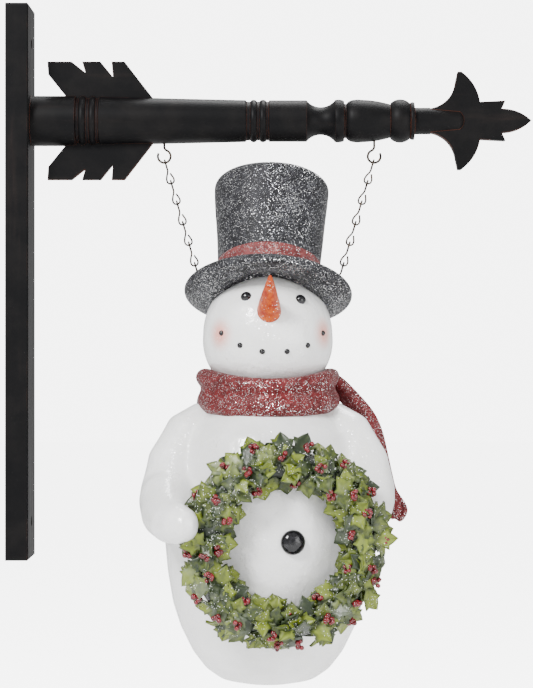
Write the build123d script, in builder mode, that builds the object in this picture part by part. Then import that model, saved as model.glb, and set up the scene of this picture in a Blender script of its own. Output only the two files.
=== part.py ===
from build123d import *
from math import asin, atan2, cos, degrees, hypot, radians, sin, sqrt
import os

# Snowman ornament hung by two jack chains from an arrow-shaped wall bracket.
# Origin: centre of the backboard's wall face. +X runs out along the arm, +Z is up, and the
# figure looks towards -Y. Millimetres.

# ---- driving sizes: bracket ----
BOARD_HEIGHT = 508.0
BOARD_WIDTH = 64.0
BOARD_THICKNESS = 21.0
BOARD_ROUNDING = 2.5
WALL_HOLE_DIAMETER = 5.0
WALL_HOLE_HEAD = 10.0
WALL_HOLE_SPACING = 440.0
ARM_HEIGHT = 149.0            # arm axis above the backboard's centre
TENON_RADIUS = 11.0
TENON_LENGTH = 15.0
COLLAR_RADIUS = 23.1
COLLAR_LENGTH = 41.0
SHAFT_RADIUS = 22.4           # thick end of the long taper
SHAFT_TAPER = 3.1             # drop in radius along the long taper
SHAFT_LENGTH = 133.5
NECK_RADIUS = 12.3
CHEEK_LENGTH = 32.0           # the neck's two cheeks over the arrowhead
VANE_THICKNESS = 9.0
VANE_HEIGHT = 54.4            # vane tips above the arm axis
VANE_START = 15.0             # from the backboard to the vane's square end
GROOVE_FLOOR = 14.0           # groove bottom above the arm axis
ARROW_THICKNESS = 12.0
ARROW_HALF_WIDTH = 45.0
ARROW_LENGTH = 92.9
ARM_SCREW_RADIUS = 2.2
ARM_SCREW_HEAD = 4.6
ARM_SCREW_LENGTH = 60.0

# ---- driving sizes: hooks and chain ----
HANG_X = 240.2                # midway between the two hooks
HOOK_SPACING = 193.6
HOOK_WIRE = 1.05              # wire radius
HOOK_RING = 5.9               # ring radius on the wire's centre line
HOOK_NECK = 4.0               # radius of the bend between shank and ring
HOOK_MOUTH = 150.0            # angle at which the open ring ends
HOOK_RING_DROP = 32.6         # ring centre below the arm axis
SHANK_DEPTH = 8.0             # shank ends this far below the arm axis
LINK_WIRE = 0.65
LINK_PITCH = 19.7
LINK_LOOP = 3.0               # loop radius on the wire's centre line
LINK_WAIST = 1.5
LINKS_PER_CHAIN = 6
EYE_WIRE = 0.8
EYE_RING = 2.6
EYE_SHANK = 7.0
EYE_SPACING = 127.4
WIRE_GAP = 0.35               # clearance between wires that hang on each other

# ---- driving sizes: figure ----
FIGURE_SHIFT_X = -1.2         # figure axis from the middle of the hooks
FIGURE_SHIFT_Y = 7.5          # figure axis behind the hook line
HEAD_RADIUS = 59.5
HEAD_BELOW_BRIM = 31.4
BRIM_BELOW_EYES = 13.8
NECK_OUTSIDE = 36.0
BELLY_RADIUS = 96.0
TORSO_HEIGHT = 275.0
TORSO_WALL = 5.0
HEAD_WALL = 4.5
HAT_TILT = 21.0
HAT_ROLL = 2.0
BRIM_RADIUS = 78.0
BRIM_THICKNESS = 8.0
BRIM_RIM = 5.0
BRIM_HOLE = 38.0
CROWN_BASE = 45.5
CROWN_TOP = 54.0
CROWN_HEIGHT = 114.0
CROWN_DOME = 4.0
CROWN_ROUNDING = 11.0
CROWN_WALL = 5.0
BAND_HEIGHT = 32.0
BAND_THICKNESS = 2.8
FACE_YAW = 6.0                # the face turns a little towards the arrowhead
EYE_RADIUS = 5.2
COAL_RADIUS = 2.7
NOSE_BASE = 10.8
NOSE_TIP = 1.6
NOSE_LENGTH = 62.0
NOSE_RISE = 33.0              # degrees above level
ARM_WALL = 4.0
SCARF_OUTSIDE = 69.0
SCARF_ROLL = 11.3
TAIL_THICKNESS = 7.0
TAIL_BACK = 23.0              # behind the figure axis, clear of the arm
BUTTON_RADIUS = 11.3
BUTTON_HEIGHT = 6.0
BUTTON_YAW = 13.5
WREATH_RADIUS = 70.5
WREATH_TUBE = 13.0
WREATH_WALL = 3.0
WREATH_YAW = 8.0
WREATH_SHIFT = 14.4           # towards the arrowhead
WREATH_FORWARD = 3.5          # ring plane in front of the belly
LEAF_LENGTH = 24.0
LEAF_WIDTH = 14.0
LEAF_THICKNESS = 1.8
BERRY_RADIUS = 4.8

FIT = 0.1                     # clearance of glued and screwed joints
SPACE = 0.3                   # clearance between castings that only lie together

os.makedirs("parts", exist_ok=True)


def save(piece, name):
    piece.part.label = name
    export_step(piece.part, "parts/" + name + ".step")


# ---- places that several pieces share ----
chain_lean = asin((HOOK_SPACING - EYE_SPACING) / 2 / (LINKS_PER_CHAIN * LINK_PITCH))
link_length = LINK_PITCH + 2 * LINK_WIRE + WIRE_GAP
hook_hang = HOOK_WIRE + LINK_WIRE + WIRE_GAP
eye_hang = EYE_WIRE + LINK_WIRE + WIRE_GAP
ring_z = ARM_HEIGHT - HOOK_RING_DROP
hook_line_z = ring_z - HOOK_RING
chain_run = (LINKS_PER_CHAIN - 1) * LINK_PITCH + link_length - hook_hang
eye_line_z = hook_line_z - chain_run * cos(chain_lean)
eye_offset = HOOK_SPACING / 2 - chain_run * sin(chain_lean)

figure_x = HANG_X + FIGURE_SHIFT_X
figure_y = FIGURE_SHIFT_Y
brim_z = eye_line_z - BRIM_BELOW_EYES
head_z = brim_z - HEAD_BELOW_BRIM
neck_z = head_z - sqrt(HEAD_RADIUS**2 - NECK_OUTSIDE**2)
figure_axis = Axis((figure_x, figure_y, 0), (0, 0, 1))
figure_plane = Plane(origin=(figure_x, figure_y, 0), x_dir=(1, 0, 0), z_dir=(0, -1, 0))
head_centre = Vector(figure_x, figure_y, head_z)

tilt = radians(HAT_TILT)
roll = radians(HAT_ROLL)
hat_plane = Plane(
    origin=(figure_x, figure_y, brim_z),
    x_dir=(cos(roll), 0, -sin(roll)),
    z_dir=(cos(tilt) * sin(roll), sin(tilt), cos(tilt) * cos(roll)),
)
hat_axis = Axis(hat_plane.origin, hat_plane.z_dir)
hat_section = Plane(origin=hat_plane.origin, x_dir=hat_plane.x_dir, z_dir=-hat_plane.y_dir)

# ================= wall bracket =================
arm_start = BOARD_THICKNESS
arm_axis = Axis((0, 0, ARM_HEIGHT), (1, 0, 0))
arm_plane = Plane(origin=(0, 0, ARM_HEIGHT), x_dir=(1, 0, 0), z_dir=(0, -1, 0))

# Backboard with two countersunk wall holes, and a socket for the arm's tenon.
with BuildPart() as backboard:
    with BuildSketch(Plane.YZ):
        Rectangle(BOARD_WIDTH, BOARD_HEIGHT)
    extrude(amount=BOARD_THICKNESS)
    chamfer(backboard.faces().sort_by(Axis.X)[-1].edges(), BOARD_ROUNDING / 2)
    fillet(backboard.edges().filter_by(Axis.X), BOARD_ROUNDING)
    with Locations(backboard.faces().sort_by(Axis.X)[-1]):
        with GridLocations(0, WALL_HOLE_SPACING, 1, 2):
            CounterSinkHole(WALL_HOLE_DIAMETER / 2, WALL_HOLE_HEAD / 2)
    with BuildSketch(Plane.YZ.offset(BOARD_THICKNESS)):
        with Locations((0, ARM_HEIGHT)):
            Circle(TENON_RADIUS + FIT)
    extrude(amount=-TENON_LENGTH, mode=Mode.SUBTRACT)
    with Locations(Plane(origin=(0, 0, ARM_HEIGHT), x_dir=(0, 1, 0), z_dir=(-1, 0, 0))):
        CounterSinkHole(ARM_SCREW_RADIUS + FIT, ARM_SCREW_HEAD + FIT)
save(backboard, "backboard")

# Turned arm. Each stretch of the turning: its length, the radius at its end, and how far the
# stretch bulges (hollow if negative).
GROOVE = 21.0
SMALL_GROOVE = 17.8
turning = [
    (COLLAR_LENGTH, COLLAR_RADIUS, 0),
    (1.0, GROOVE, 0),
    (2.0, GROOVE, 0),
    (7.0, GROOVE, 2.2),
    (2.6, GROOVE, 0),
    (6.4, GROOVE, 2.1),
    (2.0, GROOVE, 0),
    (1.5, SHAFT_RADIUS, 0.3),
    (SHAFT_LENGTH, SHAFT_RADIUS - SHAFT_TAPER, 0),
    (1.5, SMALL_GROOVE, 0.3),
    (3.2, SMALL_GROOVE, 0),
    (6.3, SMALL_GROOVE, 1.8),
    (2.2, SMALL_GROOVE, 0),
    (6.5, SMALL_GROOVE, 1.8),
    (1.8, SMALL_GROOVE, 0),
    (1.0, 19.1, 0.2),
    (34.0, 19.1, 0),
    (26.5, 19.4, -6.5),
    (8.0, 18.5, 0.8),
    (0.6, 15.7, 0),
    (1.4, 15.7, 0),
    (7.0, 19.5, 1.0),
    (7.0, 19.6, 0.3),
    (26.7, 15.4, 0.9),
    (0.9, 17.0, 0),
    (17.4, 16.2, 3.4),
    (0.6, 17.1, 0),
    (3.2, 17.1, 0.3),
    (0.7, NECK_RADIUS, 0),
    (14.1, NECK_RADIUS, 0),
]
neck_end = arm_start + sum(length for length, radius, bulge in turning)
hook_xs = [HANG_X - HOOK_SPACING / 2, HANG_X + HOOK_SPACING / 2]
shank_top = ARM_HEIGHT - SHANK_DEPTH
vane_start = arm_start + VANE_START
vane_seat = vane_start + 16.4
vane_end = vane_start + 97.4

with BuildPart() as arm_shaft:
    with BuildSketch(arm_plane):
        with BuildLine():
            tenon_end = arm_start - TENON_LENGTH
            Polyline((tenon_end, 0), (tenon_end, TENON_RADIUS), (arm_start, TENON_RADIUS),
                     (arm_start, COLLAR_RADIUS))
            x = arm_start
            r = COLLAR_RADIUS
            for length, radius, bulge in turning:
                if bulge:
                    ThreePointArc((x, r), (x + length / 2, (r + radius) / 2 + bulge),
                                  (x + length, radius))
                else:
                    Line((x, r), (x + length, radius))
                x = x + length
                r = radius
            cheek_end = x + CHEEK_LENGTH
            Line((x, r), (cheek_end - 5, r - 2))
            ThreePointArc((cheek_end - 5, r - 2), (cheek_end - 1, (r - 2) * 0.6), (cheek_end, 0))
            Line((cheek_end, 0), (tenon_end, 0))
        make_face()
    revolve(axis=arm_axis)
    # grooves for the two vanes
    with BuildSketch(arm_plane):
        for side in (1, -1):
            with Locations(((vane_seat + vane_end) / 2, side * (GROOVE_FLOOR + 10))):
                Rectangle(vane_end - vane_seat + 2 * FIT, 20)
    extrude(amount=VANE_THICKNESS / 2 + FIT, both=True, mode=Mode.SUBTRACT)
    # slot for the arrowhead
    with BuildSketch(arm_plane):
        with Locations((neck_end, 0)):
            Rectangle(2 * CHEEK_LENGTH, 3 * NECK_RADIUS, align=(Align.MIN, Align.CENTER))
    extrude(amount=ARROW_THICKNESS / 2 + FIT, both=True, mode=Mode.SUBTRACT)
    # pilot holes for the hooks and for the screw from behind
    with BuildSketch(Plane.XY.offset(shank_top)):
        with Locations([(hook_x, 0) for hook_x in hook_xs]):
            Circle(HOOK_WIRE + FIT)
    extrude(amount=-2 * SHAFT_RADIUS, mode=Mode.SUBTRACT)
    with BuildSketch(Plane.YZ.offset(tenon_end)):
        with Locations((0, ARM_HEIGHT)):
            Circle(ARM_SCREW_RADIUS + FIT)
    extrude(amount=ARM_SCREW_LENGTH - tenon_end + 1, mode=Mode.SUBTRACT)
save(arm_shaft, "arm_shaft")

# Wood screw from behind, through the backboard into the arm.
with BuildPart() as arm_screw:
    with BuildSketch(arm_plane):
        with BuildLine():
            Polyline(
                (0.3, 0), (0.3, ARM_SCREW_HEAD - 0.3),
                (0.3 + ARM_SCREW_HEAD - ARM_SCREW_RADIUS, ARM_SCREW_RADIUS),
                (ARM_SCREW_LENGTH - 5, ARM_SCREW_RADIUS), (ARM_SCREW_LENGTH, 0),
                close=True,
            )
        make_face()
    revolve(axis=arm_axis)
save(arm_screw, "arm_screw")

# Two fletching vanes, sawn from board and glued into the grooves.
for side, name in ((1, "upper_vane"), (-1, "lower_vane")):
    with BuildPart() as vane:
        with BuildSketch(arm_plane):
            with BuildLine():
                Polyline(
                    (vane_start, side * VANE_HEIGHT),
                    (vane_start + 22.2, side * VANE_HEIGHT),
                    (vane_start + 34.9, side * (VANE_HEIGHT - 10.1)),
                    (vane_start + 32.0, side * VANE_HEIGHT),
                    (vane_start + 48.8, side * VANE_HEIGHT),
                    (vane_start + 60.3, side * (VANE_HEIGHT - 14.1)),
                    (vane_start + 59.1, side * VANE_HEIGHT),
                    (vane_start + 71.0, side * VANE_HEIGHT),
                    (vane_end, side * (SHAFT_RADIUS - 2)),
                    (vane_end, side * GROOVE_FLOOR),
                    (vane_seat, side * GROOVE_FLOOR),
                    (vane_seat, side * COLLAR_RADIUS),
                    (vane_start + 0.8, side * (VANE_HEIGHT - 12)),
                    close=True,
                )
            make_face()
        extrude(amount=VANE_THICKNESS / 2, both=True)
    save(vane, name)

# Arrowhead: sawn from board, one half of the outline and its mirror.
with BuildPart() as arrowhead:
    with BuildSketch(arm_plane):
        with BuildLine():
            Line((neck_end, 0), (neck_end, 11.2))
            ThreePointArc((neck_end, 11.2), (neck_end + 16.3, 20.2), (neck_end + 23, 35))
            Line((neck_end + 23, 35), (neck_end + 25.2, ARROW_HALF_WIDTH))
            Line((neck_end + 25.2, ARROW_HALF_WIDTH), (neck_end + 28.4, ARROW_HALF_WIDTH))
            ThreePointArc((neck_end + 28.4, ARROW_HALF_WIDTH), (neck_end + 40.6, 31.6),
                          (neck_end + 45.6, 17.2))
            Line((neck_end + 45.6, 17.2), (neck_end + 69, 18.4))
            Line((neck_end + 69, 18.4), (neck_end + 65.6, 10.9))
            ThreePointArc((neck_end + 65.6, 10.9), (neck_end + 84.6, 6.2),
                          (neck_end + ARROW_LENGTH, 0))
            Line((neck_end + ARROW_LENGTH, 0), (neck_end, 0))
        make_face()
        mirror(about=Plane.XZ)
    extrude(amount=ARROW_THICKNESS / 2, both=True)
save(arrowhead, "arrowhead")

# Two open screw hooks. The mouth of each faces away from the other.
bend = atan2(sqrt((HOOK_NECK + HOOK_RING) ** 2 - HOOK_NECK**2), HOOK_NECK)
neck_top = ring_z + (HOOK_NECK + HOOK_RING) * sin(bend)
for hook_x, side, name in ((hook_xs[0], 1, "wall_side_hook"), (hook_xs[1], -1, "tip_side_hook")):
    hook_plane = Plane(origin=(hook_x, 0, 0), x_dir=(side, 0, 0), z_dir=(0, -side, 0))
    with BuildPart() as hook:
        with BuildLine(hook_plane) as bent_wire:
            Line((0, shank_top - 1), (0, neck_top))
            neck = JernArc((0, neck_top), (0, -1), HOOK_NECK, degrees(bend))
            JernArc(neck @ 1, neck % 1, HOOK_RING, -(degrees(bend) + 360 - HOOK_MOUTH))
        with BuildSketch(Plane(origin=(hook_x, 0, shank_top - 1), z_dir=(0, 0, -1))):
            Circle(HOOK_WIRE)
        sweep(path=bent_wire.line)
    save(hook, name)


# ================= jack chain =================
def teardrop(waist_plane, reach):
    """Centre line of one wire loop: two legs from the waist and a round end at the reach."""
    leg = LINK_WIRE + 0.02
    centre = reach - LINK_LOOP
    slant = atan2(centre, -leg) - asin(LINK_LOOP / hypot(leg, centre))
    leg_length = sqrt(leg**2 + centre**2 - LINK_LOOP**2)
    touch = (leg + leg_length * cos(slant), leg_length * sin(slant))
    with BuildLine(waist_plane) as loop:
        Line((leg, 0), touch)
        ThreePointArc(touch, (0, reach), (-touch[0], touch[1]))
        Line((-touch[0], touch[1]), (-leg, 0))
    return loop


def link_frame(side, number):
    """Plane of one link: origin at its top wire, local Z up the chain. side -1 is the wall side."""
    lean = chain_lean * side
    down = Vector(-sin(lean), 0, -cos(lean))
    start = Vector(HANG_X + side * HOOK_SPACING / 2, 0, hook_line_z) - down * hook_hang
    return Plane(origin=start + down * (number * LINK_PITCH), x_dir=(cos(lean), 0, -sin(lean)),
                 z_dir=-down)


def jack_link(frame):
    """One link in the open builder: edge-on loop above, face-on loop below, twisted waist."""
    waist = frame.origin - frame.z_dir * (link_length / 2)
    above = Plane(origin=waist, x_dir=frame.y_dir, z_dir=frame.x_dir)
    below = Plane(origin=waist, x_dir=frame.x_dir, z_dir=frame.y_dir)
    for plane in (above, below):
        loop = teardrop(plane, link_length / 2)
        with BuildSketch(Plane(origin=loop.line @ 0, z_dir=loop.line % 0)) as wire:
            Circle(LINK_WIRE)
        sweep(sections=wire.sketch, path=loop.line)
    with BuildSketch(Plane(origin=waist - frame.z_dir * 1.2, z_dir=frame.z_dir)) as twist:
        Circle(LINK_WAIST)
    extrude(twist.sketch, amount=2.4)


for side, place in ((-1, "wall"), (1, "tip")):
    with BuildPart() as hook_link:
        jack_link(link_frame(side, 0))
    save(hook_link, place + "_side_hook_link")
    with BuildPart() as chain_links:
        for number in range(1, LINKS_PER_CHAIN - 1):
            jack_link(link_frame(side, number))
    save(chain_links, place + "_side_chain")
    with BuildPart() as eye_link:
        jack_link(link_frame(side, LINKS_PER_CHAIN - 1))
    save(eye_link, place + "_side_eye_link")

# Screw eyes in the hat brim: the ring stands edge-on, so the face-on link hangs through it.
eye_xs = [HANG_X - eye_offset, HANG_X + eye_offset]
eye_ring_z = eye_line_z + eye_hang - EYE_RING
shank_end = eye_ring_z - EYE_RING - EYE_SHANK
for eye_x, name in ((eye_xs[0], "wall_side_screw_eye"), (eye_xs[1], "tip_side_screw_eye")):
    with BuildPart() as screw_eye:
        with Locations(Plane(origin=(eye_x, 0, eye_ring_z), z_dir=(1, 0, 0))):
            Torus(EYE_RING, EYE_WIRE)
        with BuildSketch(Plane.XY.offset(shank_end)):
            with Locations((eye_x, 0)):
                Circle(EYE_WIRE)
        extrude(amount=EYE_SHANK + EYE_WIRE / 2)
    save(screw_eye, name)

# ================= hat =================
# Brim: a flat ring with a thick rounded rim, drilled for the screw eyes.
with BuildPart() as hat_brim:
    with BuildSketch(hat_section):
        with Locations((BRIM_HOLE, 0)):
            Rectangle(BRIM_RADIUS - BRIM_RIM - BRIM_HOLE, BRIM_THICKNESS,
                      align=(Align.MIN, Align.CENTER))
        with Locations((BRIM_RADIUS - BRIM_RIM, 0)):
            Circle(BRIM_RIM)
    revolve(axis=hat_axis)
    with BuildSketch(Plane.XY.offset(shank_end - FIT)):
        with Locations([(eye_x, 0) for eye_x in eye_xs]):
            Circle(EYE_WIRE + FIT)
    extrude(amount=EYE_SHANK + BRIM_RADIUS / 2, mode=Mode.SUBTRACT)
save(hat_brim, "hat_brim")

crown_foot = BRIM_THICKNESS / 2


def crown_outline(inset):
    """Half section of the crown, as drawn, or set in by a wall."""
    top = crown_foot + CROWN_HEIGHT - inset
    half = (CROWN_TOP - inset) / 2
    dome_bend = (4 * half**2 + CROWN_DOME**2) / (2 * CROWN_DOME)
    middle = (half, top + CROWN_DOME - dome_bend + sqrt(dome_bend**2 - half**2))
    with BuildSketch(Plane.XY) as section:
        with BuildLine():
            Line((0, crown_foot), (CROWN_BASE - inset, crown_foot))
            Line((CROWN_BASE - inset, crown_foot), (CROWN_TOP - inset, top))
            ThreePointArc((CROWN_TOP - inset, top), middle, (0, top + CROWN_DOME))
            Line((0, top + CROWN_DOME), (0, crown_foot))
        make_face()
        fillet(section.vertices().sort_by(Axis.X)[-1], CROWN_ROUNDING - inset)
    return section.sketch


with BuildPart() as hat_crown:
    with BuildSketch(hat_section):
        add(crown_outline(0))
        add(crown_outline(CROWN_WALL), mode=Mode.SUBTRACT)
    revolve(axis=hat_axis)
save(hat_crown, "hat_crown")

# Ribbon band, glued round the foot of the crown.
crown_slope = (CROWN_TOP - CROWN_BASE) / CROWN_HEIGHT
band_foot = CROWN_BASE + FIT
band_top = CROWN_BASE + crown_slope * BAND_HEIGHT + FIT
with BuildPart() as hat_band:
    with BuildSketch(hat_section):
        with BuildLine():
            Polyline(
                (band_foot, crown_foot), (band_foot + BAND_THICKNESS, crown_foot),
                (band_top + BAND_THICKNESS, crown_foot + BAND_HEIGHT),
                (band_top, crown_foot + BAND_HEIGHT),
                close=True,
            )
        make_face()
    revolve(axis=hat_axis)
save(hat_band, "hat_band")

# ================= head =================
head_ball = Pos(*head_centre) * Sphere(HEAD_RADIUS)


def on_head(azimuth, elevation, radius):
    """Point round the head's centre: azimuth 0 looks to -Y, positive towards the arrowhead."""
    a = radians(azimuth)
    e = radians(elevation)
    return head_centre + Vector(sin(a) * cos(e), -cos(a) * cos(e), sin(e)) * radius


# Hollow casting, cut flat under the tilted brim and open at the neck.
with BuildPart() as head:
    with Locations(head_centre):
        Sphere(HEAD_RADIUS)
        Sphere(HEAD_RADIUS - HEAD_WALL, mode=Mode.SUBTRACT)
    split(bisect_by=hat_plane.offset(-BRIM_THICKNESS / 2), keep=Keep.BOTTOM)
    split(bisect_by=Plane.XY.offset(neck_z), keep=Keep.TOP)
save(head, "head")

def domes(places, radius):
    """Half balls in the open builder, each standing on the head at (azimuth, elevation)."""
    for azimuth, elevation in places:
        foot = on_head(azimuth, elevation, HEAD_RADIUS)
        with Locations(Plane(origin=foot, z_dir=foot - head_centre)):
            Sphere(radius, arc_size1=0, align=(Align.CENTER, Align.CENTER, Align.MIN))


with BuildPart() as eyes:
    domes([(FACE_YAW - 30, 35), (FACE_YAW + 30, 32)], EYE_RADIUS)
save(eyes, "eyes")

MOUTH_ANGLES = [-51, -31, -11, 11, 31, 51]
with BuildPart() as mouth_coals:
    domes([(FACE_YAW + a, -16 + 17 * (a / 51) ** 2) for a in MOUTH_ANGLES], COAL_RADIUS)
save(mouth_coals, "mouth_coals")

nose_root = on_head(1, 20, HEAD_RADIUS - 6)
nose_plane = Plane(origin=nose_root,
                   z_dir=(0.02, -cos(radians(NOSE_RISE)), sin(radians(NOSE_RISE))))
with BuildPart() as carrot_nose:
    with BuildSketch(nose_plane):
        Circle(NOSE_BASE)
    with BuildSketch(nose_plane.offset(NOSE_LENGTH)):
        Circle(NOSE_TIP)
    loft()
    add(head_ball, mode=Mode.SUBTRACT)
save(carrot_nose, "carrot_nose")

# ================= torso =================
# Outline from the neck down: share of the torso's height, and share of the belly's radius.
TORSO_SHAPE = [(0.078, 0.62), (0.15, 0.79), (0.25, 0.9), (0.37, 0.97), (0.507, 1.0), (0.62, 0.968),
               (0.724, 0.917), (0.804, 0.844), (0.888, 0.726), (0.946, 0.596), (0.982, 0.448),
               (1.0, 0.235)]
torso_foot = neck_z - TORSO_HEIGHT


def torso_outline(inset):
    """Half section of the torso on the figure's plane, as its outside or set in by a wall."""
    outside = [Vector(BELLY_RADIUS * r, neck_z - TORSO_HEIGHT * d) for d, r in TORSO_SHAPE]
    points = []
    for index, point in enumerate(outside[:-1]):
        along = outside[index + 1] - outside[max(index - 1, 0)]
        points.append(point + Vector(along.Y, -along.X).normalized() * inset)
    points.append(outside[-1] + Vector(0, inset))
    neck = NECK_OUTSIDE - inset
    shoulder = neck_z - 0.04 * TORSO_HEIGHT - inset
    with BuildSketch(Plane.XY) as section:
        with BuildLine():
            Polyline((0, neck_z), (neck, neck_z), (neck, shoulder), points[0])
            Spline(points)
            Polyline(points[-1], (0, points[-1].Y), (0, neck_z))
        make_face()
    return section.sketch


with BuildPart() as torso_form:
    with BuildSketch(figure_plane):
        add(torso_outline(0))
    revolve(axis=figure_axis)

# Hollow casting, open at the neck under the head.
with BuildPart() as torso:
    with BuildSketch(figure_plane):
        add(torso_outline(0))
        add(torso_outline(TORSO_WALL), mode=Mode.SUBTRACT)
    revolve(axis=figure_axis)
save(torso, "torso")

# ================= scarf =================
# Wrap: an upper and a lower roll round the neck, cut to the head and the shoulders.
roll_centre = SCARF_OUTSIDE - SCARF_ROLL
upper_roll = neck_z + 1.0
lower_roll = neck_z - 18.0
with BuildPart() as scarf_wrap:
    with BuildSketch(figure_plane):
        with Locations((roll_centre, upper_roll), (roll_centre, lower_roll)):
            Circle(SCARF_ROLL)
        with Locations((roll_centre - 2, (upper_roll + lower_roll) / 2)):
            Rectangle(2 * SCARF_ROLL - 4, upper_roll - lower_roll)
        with Locations((0, head_z)):
            Circle(HEAD_RADIUS + SPACE, mode=Mode.SUBTRACT)
        add(torso_outline(-SPACE), mode=Mode.SUBTRACT)
    revolve(axis=figure_axis)
save(scarf_wrap, "scarf_wrap")

# ================= wreath =================
wreath_plane = Plane(
    origin=(figure_x + WREATH_SHIFT, figure_y - BELLY_RADIUS - WREATH_FORWARD,
            neck_z - 0.507 * TORSO_HEIGHT),
    x_dir=(cos(radians(WREATH_YAW)), sin(radians(WREATH_YAW)), 0),
    z_dir=(sin(radians(WREATH_YAW)), -cos(radians(WREATH_YAW)), 0),
)
with BuildPart() as ring_form:
    with Locations(wreath_plane):
        Torus(WREATH_RADIUS, WREATH_TUBE)

# Hollow casting of the massed foliage.
with BuildPart() as wreath_ring:
    with Locations(wreath_plane):
        Torus(WREATH_RADIUS, WREATH_TUBE)
        Torus(WREATH_RADIUS, WREATH_TUBE - WREATH_WALL, mode=Mode.SUBTRACT)
save(wreath_ring, "wreath_ring")

# Leaves that stand out past the ring, outside and inside; none where the mitten holds it.
leaf_outline = [(-LEAF_LENGTH / 2, 0), (0, LEAF_WIDTH / 2), (LEAF_LENGTH / 2, 0), (0, -LEAF_WIDTH / 2)]
with BuildPart() as wreath_leaves:
    with BuildSketch(wreath_plane.offset(3.0)):
        with PolarLocations(WREATH_RADIUS + WREATH_TUBE + 1, 15, start_angle=-138, angular_range=276,
                            endpoint=True):
            Polygon(leaf_outline)
        with PolarLocations(WREATH_RADIUS - WREATH_TUBE - 5, 9):
            Polygon(leaf_outline)
    extrude(amount=LEAF_THICKNESS)
    add(ring_form.part, mode=Mode.SUBTRACT)
save(wreath_leaves, "wreath_leaves")

berry_step = 6.5
berry_height = sqrt(WREATH_TUBE**2 - berry_step**2)
with BuildPart() as berry_clusters:
    with Locations(wreath_plane.offset(berry_height)):
        with PolarLocations(WREATH_RADIUS - berry_step, 11):
            Sphere(BERRY_RADIUS)
        with PolarLocations(WREATH_RADIUS + berry_step, 13, start_angle=-150, angular_range=300,
                            endpoint=True):
            Sphere(BERRY_RADIUS)
    add(ring_form.part, mode=Mode.SUBTRACT)
save(berry_clusters, "berry_clusters")

# Domed button on the belly.
button_bend = (BUTTON_RADIUS**2 + BUTTON_HEIGHT**2) / (2 * BUTTON_HEIGHT)
button_reach = BELLY_RADIUS + BUTTON_HEIGHT - button_bend
button_yaw = radians(BUTTON_YAW)
button_centre = Vector(figure_x + sin(button_yaw) * button_reach,
                       figure_y - cos(button_yaw) * button_reach, wreath_plane.origin.Z + 2)
with BuildPart() as belly_button:
    with Locations(button_centre):
        Sphere(button_bend)
    add(torso_form.part, mode=Mode.SUBTRACT)
save(belly_button, "belly_button")


# ================= arms =================
def limb(stations, mode):
    """Limb in the open builder, lofted through (x, y, z, radius) stations to a rounded hand."""
    centres = [Vector(figure_x + x, figure_y + y, z) for x, y, z, radius in stations]
    radii = [radius for x, y, z, radius in stations]
    hand = radii[-1]
    reach = (centres[-1] - centres[-2]).normalized()
    for forward, girth in ((0.6, 0.8), (0.9, 0.45)):
        centres.append(centres[len(stations) - 1] + reach * (hand * forward))
        radii.append(hand * girth)
    last = len(centres) - 1
    rounds = []
    for index, centre in enumerate(centres):
        ahead = centres[min(index + 1, last)] - centres[max(index - 1, 0)]
        with BuildSketch(Plane(origin=centre, z_dir=ahead)) as girth:
            Circle(radii[index])
        rounds.append(girth.sketch.faces()[0])
    loft(sections=rounds, ruled=True, mode=mode)


# The wall-side mitten reaches round and holds the ring from the front, the other from behind.
shoulder_z = neck_z - 36
mitten_z = wreath_plane.origin.Z
hand_y = -BELLY_RADIUS
# the wall-side forearm stays outside the ring, however slim the belly
forearm_x = max(BELLY_RADIUS, WREATH_RADIUS + WREATH_TUBE - WREATH_SHIFT + 26.5)
upper_arm = [(BELLY_RADIUS - 34, 2, shoulder_z, 20), (BELLY_RADIUS - 10, -4, shoulder_z - 38, 25),
             (BELLY_RADIUS - 4, -32, shoulder_z - 70, 24)]
front_hand = [(forearm_x, hand_y + 18, mitten_z + 10, 20),
              (forearm_x - 8, hand_y - 21, mitten_z + 8, 17),
              (forearm_x - 28, hand_y - 43, mitten_z + 10, 15)]
back_hand = [(BELLY_RADIUS, hand_y + 40, mitten_z + 18, 18)]
for side, hand, name in ((-1, front_hand, "wall_side_arm"), (1, back_hand, "tip_side_arm")):
    with BuildPart() as arm:
        limb([(side * x, y, z, radius) for x, y, z, radius in upper_arm + hand], Mode.ADD)
        limb([(side * x, y, z, radius - ARM_WALL) for x, y, z, radius in upper_arm + hand],
             Mode.SUBTRACT)
        add(torso_form.part, mode=Mode.SUBTRACT)
        add(scarf_wrap.part, mode=Mode.SUBTRACT)
    save(arm, name)

# Scarf tail: falls behind the arm on the arrowhead side and ends in a flared point.
tail_back = figure_y + TAIL_BACK
outer_edge = [(64, 13), (88, -9), (106, -31), (113, -64), (118.5, -95)]
inner_edge = [(113.5, -95), (100, -60), (84, -38), (60, -18)]
with BuildPart() as scarf_tail:
    with BuildSketch(Plane(origin=(figure_x, tail_back, neck_z), x_dir=(1, 0, 0), z_dir=(0, -1, 0))):
        with BuildLine():
            Spline(outer_edge)
            Polyline(outer_edge[-1], (128, -109), (133, -117), (131, -122), (116, -131), inner_edge[0])
            Spline(inner_edge)
            Line(inner_edge[-1], outer_edge[0])
        make_face()
    extrude(amount=-TAIL_THICKNESS)
    add(scarf_wrap.part, mode=Mode.SUBTRACT)
save(scarf_tail, "scarf_tail")
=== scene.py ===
import math
import random

import bmesh
import bpy
from mathutils import Matrix, Vector, noise


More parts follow.
